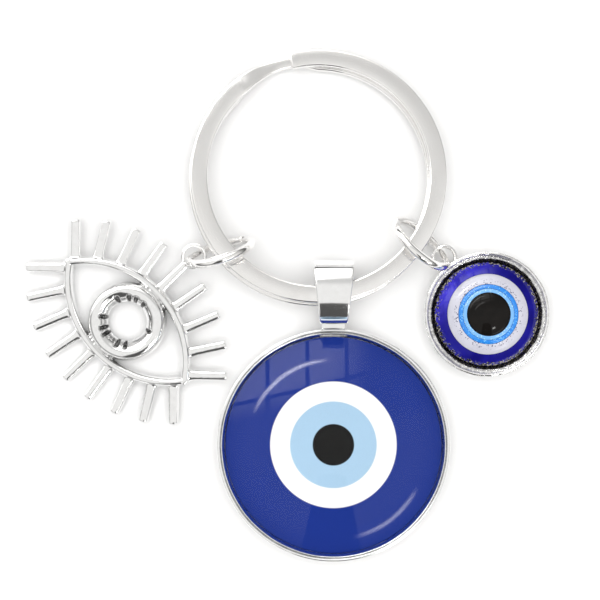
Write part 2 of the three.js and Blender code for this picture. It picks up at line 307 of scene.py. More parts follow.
class Shader:
    """A material under construction: a Principled shader and the nodes that feed it."""

    def __init__(self, name, **settings):
        self.material = bpy.data.materials.new(name)
        self.material.use_nodes = True
        self.tree = self.material.node_tree
        self.main = self.tree.nodes["Principled BSDF"]
        self.output = self.tree.nodes["Material Output"]
        for socket, value in settings.items():
            self.main.inputs[socket.replace("_", " ")].default_value = value
        self.coords = self.tree.nodes.new("ShaderNodeTexCoord").outputs["Object"]

    def node(self, kind, inputs=None, **settings):
        return add_node(self.tree, kind, inputs, **settings)

    def feed(self, socket, source):
        self.tree.links.new(source, self.main.inputs[socket])

    def stretched(self, x, y, z):
        """The object coordinates, scaled along each axis."""
        return self.node("ShaderNodeMapping", {"Vector": self.coords, "Scale": (x, y, z)}).outputs[0]

    def noise(self, size, detail=2.0, coords=None):
        """Noise whose lumps are about size millimetres across."""
        inputs = {"Vector": coords or self.coords, "Scale": 1 / (size * MM), "Detail": detail}
        return self.node("ShaderNodeTexNoise", inputs).outputs["Fac"]

    def cells(self, size, feature="F1"):
        inputs = {"Vector": self.coords, "Scale": 1 / (size * MM)}
        return self.node("ShaderNodeTexVoronoi", inputs, feature=feature)

    def attribute(self, name):
        return self.node("ShaderNodeAttribute", attribute_name=name).outputs["Fac"]

    def between(self, source, low, high, to_low=0.0, to_high=1.0):
        inputs = {"Value": source, "From Min": low, "From Max": high, "To Min": to_low, "To Max": to_high}
        return self.node("ShaderNodeMapRange", inputs, interpolation_type="SMOOTHSTEP").outputs[0]

    def math(self, operation, first, second):
        return self.node("ShaderNodeMath", {0: first, 1: second}, operation=operation).outputs[0]

    def mix(self, factor, first, second):
        mixer = self.node("ShaderNodeMix", data_type="RGBA")
        for socket, value in ((0, factor), (6, first), (7, second)):
            if isinstance(value, bpy.types.NodeSocket):
                self.tree.links.new(value, mixer.inputs[socket])
            else:
                mixer.inputs[socket].default_value = value
        return mixer.outputs[2]

    def radius(self):
        """Distance from the piece's own upright axis, in metres."""
        flat = self.stretched(1, 1, 0)
        return self.node("ShaderNodeVectorMath", {0: flat}, operation="LENGTH").outputs["Value"]

    def bands(self, source, stops):
        """A colour ramp with soft steps: (position, colour after it) pairs."""
        steps = self.node("ShaderNodeValToRGB", {"Fac": source})
        ramp = steps.color_ramp
        edge = 0.003
        ramp.elements[0].position = 0
        ramp.elements[0].color = stops[0][1]
        ramp.elements[1].position = 1
        ramp.elements[1].color = stops[-1][1]
        for (_, before), (position, after) in zip(stops, stops[1:]):
            ramp.elements.new(position - edge).color = before
            ramp.elements.new(position + edge).color = after
        return steps.outputs["Color"]

    def bump(self, *layers):
        """Layers of (height source, depth in millimetres), one bump on the next."""
        normal = None
        for source, depth in layers:
            inputs = {"Height": source, "Strength": 1.0, "Distance": depth * MM}
            if normal:
                inputs["Normal"] = normal
            normal = self.node("ShaderNodeBump", inputs).outputs["Normal"]
        self.feed("Normal", normal)


def grey(value, warmth=0.0):
    return (value * (1 + warmth), value, value * (1 - warmth), 1)


# ---------------------------------------------------------------- materials


def nickel(name, streaks):
    """Nickel-plated steel: polished, with faint drawing marks and a few dull patches."""
    s = Shader(name, Metallic=1.0, Roughness=0.14, IOR=1.5)
    patches = s.noise(3.2, 3)
    marks = s.noise(0.12, 3, s.stretched(*streaks))
    s.feed("Base Color", s.mix(s.between(patches, 0.3, 0.8), grey(0.93, 0.01), grey(0.88, 0.016)))
    dull = s.between(patches, 0.3, 0.75, 0.1, 0.18)
    s.feed("Roughness", s.math("ADD", dull, s.between(marks, 0.4, 0.8, 0, 0.05)))
    s.bump((marks, 0.0008), (s.noise(1.6, 2), 0.0012))
    return s.material


def cast_silver(name, pit_depth, mottle):
    """Bright antiqued casting: pitted skin, dark tarnish where the polish didn't reach, and painted shade, both
    read from a point attribute.
    """
    s = Shader(name, Metallic=1.0, Roughness=0.2, IOR=1.5)
    lumps = s.noise(0.7, 4)
    pits = s.cells(0.33).outputs["Distance"]
    # patina and painted shade, read from the point attribute the piece was given
    dark = s.attribute("patina_and_shade")
    speckle = s.between(s.noise(0.24, 3), 0.46, 0.56, 1, 1 - 0.92 * mottle)
    patina_and_shade_stain = s.math("MULTIPLY", dark, speckle)
    bright = s.mix(s.between(lumps, 0.3, 0.7, 0, mottle), grey(0.93), grey(0.8, 0.01))
    s.feed("Base Color", s.mix(patina_and_shade_stain, bright, grey(0.018, 0.05)))
    worn = s.between(lumps, 0.3, 0.75, 0.1, 0.1 + 0.14 * mottle)
    s.feed("Roughness", s.math("ADD", worn, s.math("MULTIPLY", dark, 0.22)))
    s.bump((lumps, pit_depth), (s.between(pits, 0.0, 0.35), pit_depth * 0.5))
    return s.material


def clear_glue():
    s = Shader("clear_glue", Roughness=0.35, IOR=1.45, Transmission_Weight=0.6)
    cloud = s.noise(1.4, 3)
    s.feed("Base Color", s.mix(cloud, (0.85, 0.83, 0.76, 1), (0.7, 0.67, 0.58, 1)))
    s.bump((cloud, 0.03))
    return s.material


def printed_card(edge):
    """Four flat printed colours, told apart by their distance from the middle, on fine paper."""
    s = Shader("printed_card", Roughness=0.5, IOR=1.45, Specular_IOR_Level=0.02)
    reach = s.math("DIVIDE", s.radius(), edge * MM)
    black, sky, white, blue = PRINT_BLACK, PRINT_SKY, PRINT_WHITE, PRINT_BLUE
    rings = s.bands(
        reach,
        [(0, black), (PRINT_PUPIL / edge, sky), (PRINT_IRIS / edge, white), (PRINT_EYE / edge, blue)],
    )
    fibres = s.noise(0.09, 4)
    s.feed("Base Color", s.mix(s.between(fibres, 0.3, 0.9, 0, 0.08), rings, grey(0.0)))
    s.feed("Roughness", s.between(fibres, 0.2, 0.8, 0.42, 0.6))
    s.bump((fibres, 0.006))
    return s.material


def lets_light_in(s):
    """Lets lamps and bounced light straight through to what lies under the clear piece."""
    path = s.node("ShaderNodeLightPath")
    passing = s.math("MAXIMUM", path.outputs["Is Shadow Ray"], path.outputs["Is Diffuse Ray"])
    clear = s.node("ShaderNodeBsdfTransparent", {"Color": (0.97, 0.97, 0.97, 1)})
    mixer = s.node("ShaderNodeMixShader", {0: passing})
    s.tree.links.new(s.main.outputs[0], mixer.inputs[1])
    s.tree.links.new(clear.outputs[0], mixer.inputs[2])
    s.tree.links.new(mixer.outputs[0], s.output.inputs["Surface"])


def glued_face():
    """The glass's flat back, wetted by the glue, so that it neither bends nor reflects light."""
    s = Shader("glued_face")
    haze = s.mix(s.noise(3, 2), grey(0.99), grey(0.96, 0.004))
    clear = s.node("ShaderNodeBsdfTransparent", {"Color": haze})
    s.tree.links.new(clear.outputs[0], s.output.inputs["Surface"])
    return s.material


def clear_glass():
    s = Shader("clear_glass", Roughness=0.0, IOR=1.33, Transmission_Weight=1.0)
    s.main.inputs["Base Color"].default_value = (1, 1, 1, 1)
    s.feed("Roughness", s.between(s.noise(2.5, 3), 0.45, 0.8, 0.0, 0.004))
    s.bump((s.noise(5.0, 1), 0.004))
    lets_light_in(s)
    return s.material


def blue_resin(edge):
    """Deep translucent blue, a painted glow on its upper-left, and a dark speckled edge of painted shade and
    patina.
    """
    s = Shader("blue_resin", Roughness=0.03, IOR=1.42, Transmission_Weight=0.2, Specular_IOR_Level=0.3)
    cloud = s.noise(2.6, 3)
    place = s.node("ShaderNodeSeparateXYZ", {0: s.coords})
    # painted glow: the upper-left side of the dome, where y exceeds x, is painted a brighter blue
    side = s.math("SUBTRACT", place.outputs["Y"], place.outputs["X"])
    painted_glow = s.math("MULTIPLY", s.between(side, 0.003, 0.0078), s.between(s.noise(0.9, 3), 0.3, 0.6, 0.5, 1))
    deep = s.mix(s.between(cloud, 0.35, 0.65), (0.008, 0.006, 0.2, 1), (0.015, 0.012, 0.33, 1))
    deep = s.mix(painted_glow, deep, (0.07, 0.055, 0.8, 1))
    # painted shade and patina: the resin's outer edge is painted near-black with pale specks, for the shaded
    # gap and tarnished wall where it dives under the rim
    ragged = s.math("MULTIPLY", s.between(s.noise(0.3, 4), 0.3, 0.7, -0.3, 0.3), MM)
    reach = s.math("ADD", s.radius(), ragged)
    specks = s.between(s.noise(0.2, 2), 0.5, 0.58)
    edge_shade_and_patina = s.mix(specks, (0.006, 0.006, 0.012, 1), (0.5, 0.46, 0.4, 1))
    s.feed("Base Color", s.mix(s.between(reach, (edge - 0.3) * MM, (edge - 0.12) * MM), deep, edge_shade_and_patina))
    s.feed("Roughness", s.between(cloud, 0.3, 0.8, 0.01, 0.06))
    s.bump((s.noise(1.8, 2), 0.006))
    return s.material


def glitter_resin(name, base, shade, fleck, inner, outer):
    """Opaque enamel-like resin with glitter flecks that gather between the two radii."""
    s = Shader(name, Roughness=0.25, IOR=1.5, Coat_Weight=0.5)
    s.main.inputs["Coat Roughness"].default_value = 0.04
    cloud = s.noise(1.2, 3)
    cell = s.cells(0.16)
    picked = s.between(s.node("ShaderNodeSeparateColor", {0: cell.outputs["Color"]}).outputs[0], 0.66, 0.68)
    near = s.between(cell.outputs["Distance"], 0.36, 0.46, 1, 0)
    zone = s.between(s.radius(), inner * MM, outer * MM, 1, 0)
    flecks = s.math("MULTIPLY", s.math("MULTIPLY", picked, near), zone)
    s.feed("Base Color", s.mix(flecks, s.mix(cloud, base, shade), fleck))
    s.feed("Roughness", s.between(cloud, 0.3, 0.8, 0.18, 0.32))
    s.bump((cloud, 0.01), (flecks, 0.012))
    return s.material


def black_resin():
    s = Shader("black_resin", Roughness=0.06, IOR=1.42, Specular_IOR_Level=0.16)
    cloud = s.noise(0.9, 3)
    s.feed("Base Color", s.mix(cloud, (0.004, 0.004, 0.004, 1), (0.012, 0.01, 0.009, 1)))
    s.feed("Roughness", s.between(cloud, 0.3, 0.8, 0.03, 0.1))
    s.bump((s.noise(1.6, 1), 0.004))
    return s.material


# ---------------------------------------------------------------- split ring

STRIP_WIDTH = 2.0
STRIP_THICKNESS = 1.05
STRIP_ROUNDING = 0.24
COIL_GAP = 0.2
FRONT_END = 103.5  # where the front coil is cut, degrees round the ring
RAMP = (332, 355)  # degrees of sweep over which the strip steps down to the back coil
RAMP_END = (362, 376)  # degrees over which it comes back to full width
RAMP_WIDTH = 1.35
SWEEP = 690
BACK_SHIFT = (-0.24, -0.26)
SHEARED = ((0, 0.13), (0.04, 0.05), (0.14, 0))  # (distance from a cut end, how far the edges are inset)


def strip_section(sweep, length):
    """The strip's section at a sweep angle, on its own centre line, with softened cut ends."""
    narrow = smoothstep(*RAMP, sweep) - smoothstep(*RAMP_END, sweep)
    width = STRIP_WIDTH - (STRIP_WIDTH - RAMP_WIDTH) * narrow
    from_end = min(sweep, SWEEP - sweep) * length
    inset = 0
    for (near, more), (far, less) in zip(SHEARED, SHEARED[1:]):
        if near <= from_end < far:
            inset = more + (less - more) * (from_end - near) / (far - near)
    section = rounded_bar(width - 2 * inset, STRIP_THICKNESS - 2 * inset, STRIP_ROUNDING)
    return section, (STRIP_WIDTH - width) / 2


def split_ring():
    middle = joint_place("left_jump_ring_slide")
    normal = joint_axis("left_jump_ring_slide")
    outer = corners("split_ring")[1].x - middle.x
    radius = outer - STRIP_WIDTH / 2
    level = (STRIP_THICKNESS + COIL_GAP) / 2
    degree = math.radians(1) * radius
    ends = [near / degree for near, _ in SHEARED]
    sweeps = ends + [float(s) for s in range(1, SWEEP)] + [SWEEP - s for s in reversed(ends)]
    rings = []
    for sweep in sweeps:
        turn = math.radians(FRONT_END - sweep)
        down = smoothstep(*RAMP, sweep)
        section, outwards = strip_section(sweep, degree)
        x, y = BACK_SHIFT[0] * down, BACK_SHIFT[1] * down
        ring = []
        for out, up in section:
            reach = radius + outwards + out
            ring.append((x + reach * math.cos(turn), y + reach * math.sin(turn), level * (1 - 2 * down) + up))
        rings.append(ring)
    tilt = Euler((-math.asin(normal.y), 0, 0))
    steel = nickel("split_ring_steel", (1, 1, 9))
    return piece("split_ring_coils", "split_ring", lofted(rings), steel, middle, tilt)


# ---------------------------------------------------------------- jump rings

WIRE = 1.0
JUMP_RADIUS = 3.7
CUT_GAP = 6  # degrees between the cut ends
CUT_OFFSET = 0.05  # how far each cut end stands out of line
SAWN = ((0, 0.09), (0.05, 0.03), (0.13, 0))  # (distance from a cut end, how much thinner the wire is)
LEFT_GAP, RIGHT_GAP = -36, 174
LEFT_CHARM, RIGHT_CHARM = 213, -32  # where each charm's loop hangs, degrees round the wire


def jump_turn(joint):
    """How a jump ring stands: its axis is that of the charm's swing."""
    axis = joint_axis(joint)
    return Euler((math.asin(axis.z), 0, math.atan2(-axis.x, axis.y)), "XYZ")


def wire_point(joint, angle):
    turn = math.radians(angle)
    spot = Vector((JUMP_RADIUS * math.cos(turn), 0, JUMP_RADIUS * math.sin(turn)))
    spot.rotate(jump_turn(joint))
    return joint_place(joint) + spot


def jump_ring(name, node, joint, gap_at):
    """Round wire bent to a ring, its sawn ends slightly rounded and a touch out of line."""
    steps = 200
    sides = 28
    rings = []
    span = 360 - CUT_GAP
    whole = JUMP_RADIUS * math.radians(span)
    stops = list(SAWN)
    stops += [(whole * i / steps, 0) for i in range(2, steps - 1)]
    stops += [(whole - near, inset) for near, inset in reversed(SAWN)]
    for length, inset in stops:
        share = length / whole
        turn = math.radians(gap_at + CUT_GAP / 2 + span * share)
        aside = CUT_OFFSET * (2 * share - 1) ** 9
        wire = WIRE / 2 - inset
        ring = []
        for k in range(sides):
            around = TURN * k / sides
            reach = JUMP_RADIUS + wire * math.cos(around)
            ring.append((reach * math.cos(turn), aside + wire * math.sin(around), reach * math.sin(turn)))
        rings.append(ring)
    steel = nickel(name + "_steel", (1, 5, 1))
    return piece(name, node, lofted(rings), steel, joint_place(joint), jump_turn(joint))


# ---------------------------------------------------------------- eye charm

EYE_HALF_LENGTH = 9.6
EYE_HALF_WIDTH = 5.0
EYE_OUTLINE = (1.0, 1.5)  # width and height of the outline bars
EYE_PAST_CORNER = 1.035
EYE_ARC_RADIUS = (EYE_HALF_LENGTH**2 + EYE_HALF_WIDTH**2) / (2 * EYE_HALF_WIDTH)
IRIS_RADIUS = 4.65
IRIS_HEIGHT = 2.0
IRIS_CROWN = 3.7
LEDGE_RADIUS = 3.15
LEDGE_HEIGHT = 0.95
IRIS_HOLE = 2.3
LASHES = ((0, 0), (2.6, 10), (5.15, 21), (7.4, 32), (9.2, 45))  # (place along the eye, lean in degrees)
UPPER_LASH, LOWER_LASH = 4.85, 4.95
LOWER_SHIFT = -0.38
LASH_WIDTH = 1.17
LASH_HEIGHT = 1.2
LOOP_RADII = (1.575, 1.075)  # outside and hole
LOOP_THICKNESS = 0.8
LOOP_DISTANCE = 10.9
EYE_HEADING = -46
NOTCHES = (157, 129, 112, 91, 214, 240, 256, 293, 313, 23)  # tool marks round the iris's inner ledge


def flat_section(section, x, y, travel):
    """A section across a flat path at a point, for a heading in radians."""
    return [(x - math.sin(travel) * across, y + math.cos(travel) * across, up) for across, up in section]


def cast_loop():
    sides = 18
    steps = 72
    middle = sum(LOOP_RADII) / 2
    wide = (LOOP_RADII[0] - LOOP_RADII[1]) / 2
    arounds = [TURN * k / sides for k in range(sides)]
    section = [(wide * math.cos(around), LOOP_THICKNESS / 2 * math.sin(around)) for around in arounds]
    rings = []
    for i in range(steps):
        turn = TURN * i / steps
        x, y = middle * math.cos(turn), middle * math.sin(turn)
        rings.append(flat_section(section, x, y, turn + math.pi / 2))
    return lofted(rings, joined=True)


def eye_arc(side):
    half = math.asin(EYE_HALF_LENGTH / EYE_ARC_RADIUS) * EYE_PAST_CORNER
    steps = 64
    rings = []
    for i in range(steps + 1):
        turn = half * (1 - 2 * i / steps)
        x = EYE_ARC_RADIUS * math.sin(turn)
        y = EYE_ARC_RADIUS * math.cos(turn) - (EYE_ARC_RADIUS - EYE_HALF_WIDTH)
        rings.append(flat_section(cast_bar(*EYE_OUTLINE), x, y, math.pi - turn))
    mesh = lofted(rings)
    return mesh if side > 0 else moved(mesh, Matrix.Rotation(math.pi, 4, "Z"))


def lash(x, y, direction, length):
    """A rod from the outline with a flared root and a blunt, squared tip."""
    stations = ((-0.3, 1.5), (0.35, 1.34), (0.8, 1.14), (1.3, 1.06), (length - 0.12, 1.0), (length, 0.92))
    rings = []
    for along, share in stations:
        px, py = x + along * math.cos(direction), y + along * math.sin(direction)
        height = LASH_HEIGHT * min(1.0, 0.2 + 0.8 * share)
        rings.append(flat_section(cast_bar(LASH_WIDTH * share, height, 0.78), px, py, direction))
    return lofted(rings)


def lashes(side):
    found = []
    length = UPPER_LASH if side > 0 else LOWER_LASH
    stem = LOOP_DISTANCE - EYE_HALF_WIDTH - LOOP_RADII[0] + 0.3
    for place, (offset, lean) in enumerate(LASHES):
        for hand in (1,) if place == 0 else (1, -1):
            along = 0.5 + offset * hand / (2 * LASHES[-1][0])
            shift = 0 if side > 0 else LOWER_SHIFT * (1 - (1 - along) ** 2)
            x = offset * hand + shift
            turn = math.asin(x / EYE_ARC_RADIUS)
            y = side * (EYE_ARC_RADIUS * math.cos(turn) - (EYE_ARC_RADIUS - EYE_HALF_WIDTH))
            direction = side * (math.pi / 2 - math.radians(lean) * hand)
            is_stem = side > 0 and place == 0
            found.append(lash(x, y, direction, stem if is_stem else length))
    return found


def notch_depth(turn):
    """How deep the ledge is cut at an angle: short radial tool marks."""
    away = min(abs((math.degrees(turn) - mark + 180) % 360 - 180) for mark in NOTCHES)
    return smoothstep(5.4, 3.0, away)


def iris_ring():
    """A rounded ring with a lower inner ledge, which the tool marks cut into."""
    outline = filleted(
        [
            (IRIS_HOLE, 0, 0.1),
            (IRIS_RADIUS - 0.15, 0, 0.15),
            (IRIS_RADIUS, 0.5, 0.3),
            (IRIS_RADIUS - 0.12, 1.25, 0.3),
            (IRIS_RADIUS - 0.45, 1.8, 0.25),
            (IRIS_CROWN, IRIS_HEIGHT, 0.35),
            (LEDGE_RADIUS, 1.84, 0.3),
            (LEDGE_RADIUS - 0.35, 1.55, 0.25),
            (IRIS_HOLE, LEDGE_HEIGHT - 0.1, 0.12),
        ],
        3,
        closed=True,
    )

    def cut(radius, height, turn):
        on_ledge = smoothstep(LEDGE_RADIUS + 0.05, LEDGE_RADIUS - 0.15, radius) if height > 0.5 else 0
        return radius, height - 0.6 * on_ledge * notch_depth(turn)

    return turned(outline, 360, cut)


def eye_patina_and_shade(point):
    """Darkness on the casting: patina in the tool marks on the iris ledge, patina and painted shadow where the
    iris meets the outline, and painted shade along its lowest edge.
    """
    spot = Vector((point.x, point.y + LOOP_DISTANCE))
    up = point.z + LOOP_THICKNESS / 2
    reach = spot.length
    turn = math.atan2(spot.y, spot.x)
    ledge = notch_depth(turn) * smoothstep(LEDGE_RADIUS + 0.1, LEDGE_RADIUS - 0.02, reach)
    # patina and painted shadow where the iris meets the outline, at top and bottom
    seam_patina_and_shadow = smoothstep(0.5, 0.15, abs(reach - IRIS_RADIUS)) * smoothstep(1.5, 0.9, up)
    # painted shade: darker along the casting's lowest 0.35 mm, under it by the floor
    low = smoothstep(0.35, 0.05, up)
    return min(1, 0.95 * ledge + 0.55 * seam_patina_and_shadow * smoothstep(2.5, 3.6, abs(spot.y)) + 0.4 * low)


def eye_charm():
    parts = [eye_arc(1), eye_arc(-1), iris_ring(), *lashes(1), *lashes(-1)]
    parts.append(moved(cast_loop(), Matrix.Translation((0, LOOP_DISTANCE, LOOP_THICKNESS / 2))))
    mesh = cast(parts, voxel=0.1, smoothing=3)
    mesh.transform(Matrix.Translation((0, -LOOP_DISTANCE, -LOOP_THICKNESS / 2)))
    hang = wire_point("eye_charm_swing", LEFT_CHARM)
    far_end = LOOP_DISTANCE + EYE_HALF_WIDTH + LOWER_LASH
    tilt = math.asin((hang.z - LOOP_THICKNESS / 2) / far_end)
    turn = Euler((tilt, 0, math.radians(EYE_HEADING)))
    silver = cast_silver("eye_silver", 0.006, 0.3)
    return piece("eye_charm_casting", "eye_charm", mesh, silver, hang, turn, 60, eye_patina_and_shade)


# ---------------------------------------------------------------- large pendant

BAIL_CENTRE = 17.68  # from the tray's centre to the bail's, along Y
BAIL_HALF_HEIGHT = 3.7
BAIL_DEPTH = 6.7
BAIL_WALL = 0.75
BAIL_TOP, BAIL_BOTTOM = 4.85, 3.2
BAIL_ROUNDNESS = 2.6
BAIL_EASING = 0.22
LUG_SIZE = (2.9, 2.0, 2.2)
LUG_PLACE = (13.58, 1.5)  # from the tray's centre along Y, and up
TRAY_TOP = 2.95
TRAY_FLOOR = 0.8
FILM_WAVE = 0.012  # how deep the glue's wavy edge is, as a share of its radius
GLASS_EDGE = 1.75
PRINT_PUPIL, PRINT_IRIS, PRINT_EYE = 2.26, 4.73, 6.95
PRINT_BLACK = (0.002, 0.002, 0.002, 1)
PRINT_SKY = (0.4, 0.6, 0.79, 1)
PRINT_WHITE = (0.95, 0.95, 0.95, 1)
PRINT_BLUE = (0.012, 0.034, 0.25, 1)


def tray_wobble(radius, height, turn):
    """The slight unevenness of a cast and tumbled rim."""
    spot = (radius * math.cos(turn), radius * math.sin(turn), height)
    return radius + 0.02 * grain(spot, 2.2, 3), height + (0.02 * grain(spot, 1.6, 8) if height > 1.5 else 0)


def tray_body():
    outer = radius_of("large_tray")
    inner = radius_of("large_glass") + WALL_GAP
    top = TRAY_TOP
    outline = filleted(
        [
            (0, 0, 0),
            *((outer * share, 0, 0) for share in BACK_RINGS),
            (outer - 0.6, 0, 0.1),
            (outer - 0.2, 0.35, 0.2),
            (outer, 1, 0.3),
            (outer, top - 0.25, 0.12),
            (outer - 0.15, top, 0.08),
            (outer - 0.38, top, 0.06),
            (outer - 0.48, top - 0.15, 0.05),
            (outer - 0.58, top - 0.05, 0.04),
            (outer - 0.66, top - 0.07, 0.04),
            (inner + 0.03, top - 0.7, 0.15),
            (inner, TRAY_FLOOR, 0.12),
            (0, TRAY_FLOOR, 0),
        ],
        3,
    )
    return turned(outline, 288, tray_wobble)


def bail_band():
    """A flat band bent to a rounded loop, wide at the top and narrow at the bottom, with eased edges."""
    steps = 144
    power = 2 / BAIL_ROUNDNESS
    flat = 1 - BAIL_EASING
    half_depth = BAIL_DEPTH / 2
    low, high = BAIL_CENTRE - BAIL_HALF_HEIGHT, BAIL_CENTRE + BAIL_HALF_HEIGHT

    def middle(turn):
        c, s = math.cos(turn), math.sin(turn)
        y = BAIL_CENTRE + (BAIL_HALF_HEIGHT - BAIL_WALL / 2) * math.copysign(abs(c) ** power, c)
        z = half_depth + (half_depth - BAIL_WALL / 2) * math.copysign(abs(s) ** power, s)
        return Vector((y, z))

    rings = []
    for i in range(steps):
        turn = TURN * (i + 0.5) / steps
        here = middle(turn)
        along = (middle(turn + 0.01) - middle(turn - 0.01)).normalized()
        outwards = Vector((along.y, -along.x))
        ring = []
        for across, out in rounded_bar(2, BAIL_WALL, BAIL_EASING, 5):
            spot = here + outwards * out
            width = BAIL_BOTTOM + (BAIL_TOP - BAIL_BOTTOM) * (spot.x - low) / (high - low)
            side = width / 2 - BAIL_EASING
            corner = abs(across) - flat
            reach = side + corner if corner > 0 else abs(across) / flat * side
            ring.append((math.copysign(reach, across), spot.x, spot.y))
        rings.append(ring)
    return lofted(rings, joined=True)


def lug():
    """The cast block between tray and bail, flared where it runs into each."""
    width, length, height = LUG_SIZE
    steps = 12
    rings = []
    for i in range(steps + 1):
        share = i / steps
        flare = 1 + 0.14 * (2 * share - 1) ** 2
        y = LUG_PLACE[0] + length * (share - 0.5)
        section = rounded_bar(width * flare, height * (0.94 + 0.06 * flare), 0.3)
        rings.append([(across, y, LUG_PLACE[1] + up) for across, up in section])
    return lofted(rings)


def tray_patina_and_shade(point):
    """Patina on the rim's inner wall and groove, and painted shade that darkens the wall on its far side."""
    reach = Vector((point.x, point.y)).length
    inner = radius_of("large_glass") + WALL_GAP
    outer = radius_of("large_tray")
    # painted shade: the inner wall is weighted darker on its far side, towards +Y, where it faces the dark
    # front
    painted_far_shade = smoothstep(-0.35, 0.55, (0.5 * point.x + 0.87 * point.y) / max(reach, 1))
    wall = smoothstep(inner + 0.3, inner + 0.22, reach) * smoothstep(2.88, 2.8, point.z)
    wall *= 0.25 + 0.75 * painted_far_shade
    wall *= 1 - 0.6 * smoothstep(0.15, 0.5, grain(point, 0.35, 4))
    groove = smoothstep(0.14, 0.04, abs(reach - (outer - 0.49))) * smoothstep(2.7, 2.82, point.z)
    patchy = 0.75 + 0.25 * grain(point, 1.5, 5)
    return min(1, (0.9 * wall + 0.7 * groove) * patchy)


def glue_film(name, node, waves):
    """A pressed-out film of glue with a wavy edge."""
    low, high = corners(node)
    radius = radius_of(node)
    outline = filleted([(0, low.z, 0), (radius, low.z, 0.05), (radius, high.z, 0.05), (0, high.z, 0)])

    def wavy(reach, height, turn):
        return reach * (1 - FILM_WAVE * (1 + math.sin(waves * turn))), height

    return piece(name, node, turned(outline, 96, wavy), clear_glue(), centre(node))


def dome_height(rim_radius, rise, radius):
    sphere = (rim_radius**2 + rise**2) / (2 * rise)
    return math.sqrt(sphere**2 - radius**2) - (sphere - rise)


def dome_foot(radius, low, top):
    """The lower part of a dome's outline: a flat back, a bevelled edge and an upright side."""
    bevel = FOOT_BEVEL
    return filleted([(0, low, 0), (radius - bevel, low, 0.1), (radius, low + bevel, 0.1), (radius, top, 0)])


def glass_dome():
    node = "large_glass"
    low, high = corners(node)
    radius = radius_of(node)
    rise = high.z - low.z - GLASS_EDGE
    shoulder = low.z + GLASS_EDGE
    steps = 40
    outline = dome_foot(radius, low.z, shoulder - 0.2)
    outline.append(Vector((radius, shoulder - 0.08)))
    for i in range(1, steps + 1):
        reach = radius * math.cos(math.pi / 2 * i / steps) if i < steps else 0
        outline.append(Vector((reach, shoulder + dome_height(radius, rise, reach))))
    obj = piece("large_glass_dome", node, turned(outline, 192), clear_glass(), centre(node))
    obj.data.materials.append(glued_face())
    for face in obj.data.polygons:
        face.material_index = 1 if face.normal.z < -0.9 else 0
    return obj


def print_card():
    node = "large_print"
    low, high = corners(node)
    radius = radius_of(node)
    outline = filleted([(0, low.z, 0), (radius, low.z, 0.03), (radius, high.z, 0.03), (0, high.z, 0)])
    inner_steps = [Vector((radius * share, high.z)) for share in (0.8, 0.6, 0.4, 0.2)]
    outline = outline[:-1] + inner_steps + outline[-1:]
    return piece("large_print_card", node, turned(outline, 192), printed_card(radius), centre(node))


def large_pendant():
    middle = centre("large_print")
    mesh = united([tray_body(), bail_band(), lug()])
    silver = cast_silver("tray_silver", 0.0012, 0.25)
    piece("large_tray_casting", "large_tray", mesh, silver, middle, crease=40, patina_and_shade=tray_patina_and_shade)
    glue_film("large_glue_film", "large_glue", 7)
    print_card()
    glass_dome()


# ---------------------------------------------------------------- small pendant

CUP_TOP = 2.7
CUP_FLOOR = 0.7
CUP_RADIUS = 7.3
RESIN_EDGE = 1.4
RESIN_RISE = 2.6
RESIN_RECESS = 0.4
BAND_UNDER = 0.34  # how far the bands and the pupil reach down into the recess
BAND_GAP = 0.03  # between a band and what it surrounds, or is set in
BEAD_EDGE, BEAD_RISE = 0.05, 0.3  # how far the pupil stands proud at its edge, and how much more inside
CUP_GROOVE = 6.65  # radius of the groove round the cup's rim
# Each resin's base, its shade and its glitter.
PEARL = ((0.66, 0.66, 0.74, 1), (0.54, 0.54, 0.63, 1), (0.015, 0.02, 0.09, 1))
AZURE = ((0.015, 0.17, 0.68, 1), (0.02, 0.3, 0.85, 1), (0.25, 0.7, 1.0, 1))
LIGHT_BLUE = ((0.16, 0.42, 0.85, 1), (0.2, 0.5, 0.9, 1), (0.5, 0.8, 1.0, 1))


def cup_roughness(radius, height, turn):
    """A coarse casting: lumpy rim and a ragged inner wall."""
    spot = (radius * math.cos(turn), radius * math.sin(turn), height)
    inner = smoothstep(6.6, 6.4, radius) * smoothstep(1.4, 1.9, height)
    lumps = 0.03 * grain(spot, 1.3, 2) + 0.02 * grain(spot, 0.45, 6)
    ragged = 0.07 * inner * grain(spot, 0.26, 9)
    return radius + lumps + ragged, height + (0.04 * grain(spot, 0.9, 4) if height > 1.5 else 0)


def small_cup():
    middle = centre("small_resin_body")
    outer = CUP_RADIUS
    inner = radius_of("small_resin_body") + WALL_GAP
    outline = filleted(
        [
            (0, 0, 0),
            *((outer * share, 0, 0) for share in BACK_RINGS),
            (outer - 0.6, 0, 0.1),
            (outer - 0.2, 0.3, 0.2),
            (outer, 0.9, 0.3),
            (outer, CUP_TOP - 0.2, 0.15),
            (outer - 0.15, CUP_TOP, 0.1),
            (outer - 0.4, CUP_TOP, 0.1),
            (outer - 0.52, CUP_TOP - 0.35, 0.08),
            (outer - 0.78, CUP_TOP - 0.4, 0.08),
            (outer - 0.85, CUP_TOP - 0.28, 0.08),
            (inner + 0.04, CUP_TOP - 1.05, 0.2),
            (inner, CUP_FLOOR, 0.12),
            (0, CUP_FLOOR, 0),
        ],
        3,
    )
    body = turned(outline, 288, cup_roughness)
    hang = wire_point("small_pendant_swing", RIGHT_CHARM) - middle
    hanger = moved(cast_loop(), Matrix.Translation(hang))
    silver = cast_silver("cup_silver", 0.02, 1)
    mesh = united([body, hanger])
    return piece("small_cup_casting", "small_cup", mesh, silver, middle, crease=50, patina_and_shade=cup_tarnish)


